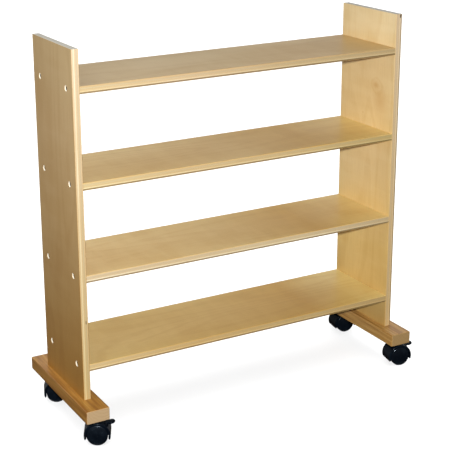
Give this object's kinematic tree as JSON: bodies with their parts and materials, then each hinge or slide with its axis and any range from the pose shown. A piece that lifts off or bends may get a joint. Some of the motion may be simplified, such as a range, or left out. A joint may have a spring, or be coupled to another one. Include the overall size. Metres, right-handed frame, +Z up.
{
  "type": "book cart",
  "caption": "Open wooden book cart with straight flat shelves screwed between two side panels, on runner feet with hooded swivel casters and toe brakes.",
  "frame": {"origin": "on the floor, under the middle of the overall box", "axes": "+X along the shelves to the right seen from the front, +Y to the back, +Z up"},
  "size_m": [0.978, 0.3669, 0.953],
  "materials": {
    "birch_plywood": "clear satin lacquer over birch veneer, layered edges",
    "hardwood": "clear satin lacquer over solid wood, eased edges",
    "dark_steel": "black oxide",
    "zinc_steel": "zinc plated",
    "black_nylon": "moulded, satin to glossy"
  },
  "bodies": {
    "cart": {"left_side_panel": "birch_plywood", "left_foot": "hardwood", "left_shelf_screws": "dark_steel", "left_foot_screws": "dark_steel", "right_side_panel": "birch_plywood", "right_foot": "hardwood", "right_shelf_screws": "dark_steel", "right_foot_screws": "dark_steel", "bottom_shelf": "birch_plywood", "lower_middle_shelf": "birch_plywood", "upper_middle_shelf": "birch_plywood", "top_shelf": "birch_plywood", "front_left_caster_socket": "zinc_steel", "front_left_caster_grip_ring": "zinc_steel", "front_left_caster_stem": "zinc_steel", "front_right_caster_socket": "zinc_steel", "front_right_caster_grip_ring": "zinc_steel", "front_right_caster_stem": "zinc_steel", "rear_left_caster_socket": "zinc_steel", "rear_left_caster_grip_ring": "zinc_steel", "rear_left_caster_stem": "zinc_steel", "rear_right_caster_socket": "zinc_steel", "rear_right_caster_grip_ring": "zinc_steel", "rear_right_caster_stem": "zinc_steel"},
    "front_left_caster": {"front_left_caster_housing": "black_nylon", "front_left_caster_axle": "zinc_steel", "front_left_caster_brake_pin": "zinc_steel"},
    "front_left_caster_back_wheel": {"front_left_caster_back_wheel": "black_nylon"},
    "front_left_caster_front_wheel": {"front_left_caster_front_wheel": "black_nylon"},
    "front_left_caster_brake_lever": {"front_left_caster_brake_lever": "black_nylon"},
    "front_right_caster": {"front_right_caster_housing": "black_nylon", "front_right_caster_axle": "zinc_steel", "front_right_caster_brake_pin": "zinc_steel"},
    "front_right_caster_back_wheel": {"front_right_caster_back_wheel": "black_nylon"},
    "front_right_caster_front_wheel": {"front_right_caster_front_wheel": "black_nylon"},
    "front_right_caster_brake_lever": {"front_right_caster_brake_lever": "black_nylon"},
    "rear_left_caster": {"rear_left_caster_housing": "black_nylon", "rear_left_caster_axle": "zinc_steel"},
    "rear_left_caster_back_wheel": {"rear_left_caster_back_wheel": "black_nylon"},
    "rear_left_caster_front_wheel": {"rear_left_caster_front_wheel": "black_nylon"},
    "rear_right_caster": {"rear_right_caster_housing": "black_nylon", "rear_right_caster_axle": "zinc_steel"},
    "rear_right_caster_back_wheel": {"rear_right_caster_back_wheel": "black_nylon"},
    "rear_right_caster_front_wheel": {"rear_right_caster_front_wheel": "black_nylon"}
  },
  "joints": [
    {"name": "front_left_caster_swivel", "type": "hinge", "parent": "cart", "child": "front_left_caster", "pos_m": [-0.4572, -0.1446, 0.063], "axis": [0, 0, 1], "continuous": true},
    {"name": "front_left_caster_back_wheel_spin", "type": "hinge", "parent": "front_left_caster", "child": "front_left_caster_back_wheel", "pos_m": [-0.45007, -0.14823, 0.026], "axis": [0.454, 0.891, 0], "continuous": true},
    {"name": "front_left_caster_front_wheel_spin", "type": "hinge", "parent": "front_left_caster", "child": "front_left_caster_front_wheel", "pos_m": [-0.45007, -0.14823, 0.026], "axis": [0.454, 0.891, 0], "continuous": true},
    {"name": "front_left_caster_brake_press", "type": "hinge", "parent": "front_left_caster", "child": "front_left_caster_brake_lever", "pos_m": [-0.43255, -0.15716, 0.04944], "axis": [0.454, 0.891, 0], "range_deg": [0, 20]},
    {"name": "front_right_caster_swivel", "type": "hinge", "parent": "cart", "child": "front_right_caster", "pos_m": [0.4388, -0.1446, 0.063], "axis": [0, 0, 1], "continuous": true},
    {"name": "front_right_caster_back_wheel_spin", "type": "hinge", "parent": "front_right_caster", "child": "front_right_caster_back_wheel", "pos_m": [0.44662, -0.14626, 0.026], "axis": [0.2079, 0.9781, 0], "continuous": true},
    {"name": "front_right_caster_front_wheel_spin", "type": "hinge", "parent": "front_right_caster", "child": "front_right_caster_front_wheel", "pos_m": [0.44662, -0.14626, 0.026], "axis": [0.2079, 0.9781, 0], "continuous": true},
    {"name": "front_right_caster_brake_press", "type": "hinge", "parent": "front_right_caster", "child": "front_right_caster_brake_lever", "pos_m": [0.46586, -0.15035, 0.04944], "axis": [0.2079, 0.9781, 0], "range_deg": [0, 20]},
    {"name": "rear_left_caster_swivel", "type": "hinge", "parent": "cart", "child": "rear_left_caster", "pos_m": [-0.4572, 0.1124, 0.063], "axis": [0, 0, 1], "continuous": true},
    {"name": "rear_left_caster_back_wheel_spin", "type": "hinge", "parent": "rear_left_caster", "child": "rear_left_caster_back_wheel", "pos_m": [-0.44973, 0.10953, 0.026], "axis": [0.3584, 0.9336, 0], "continuous": true},
    {"name": "rear_left_caster_front_wheel_spin", "type": "hinge", "parent": "rear_left_caster", "child": "rear_left_caster_front_wheel", "pos_m": [-0.44973, 0.10953, 0.026], "axis": [0.3584, 0.9336, 0], "continuous": true},
    {"name": "rear_right_caster_swivel", "type": "hinge", "parent": "cart", "child": "rear_right_caster", "pos_m": [0.4388, 0.1124, 0.063], "axis": [0, 0, 1], "continuous": true},
    {"name": "rear_right_caster_back_wheel_spin", "type": "hinge", "parent": "rear_right_caster", "child": "rear_right_caster_back_wheel", "pos_m": [0.4467, 0.11115, 0.026], "axis": [0.1564, 0.9877, 0], "continuous": true},
    {"name": "rear_right_caster_front_wheel_spin", "type": "hinge", "parent": "rear_right_caster", "child": "rear_right_caster_front_wheel", "pos_m": [0.4467, 0.11115, 0.026], "axis": [0.1564, 0.9877, 0], "continuous": true}
  ]
}
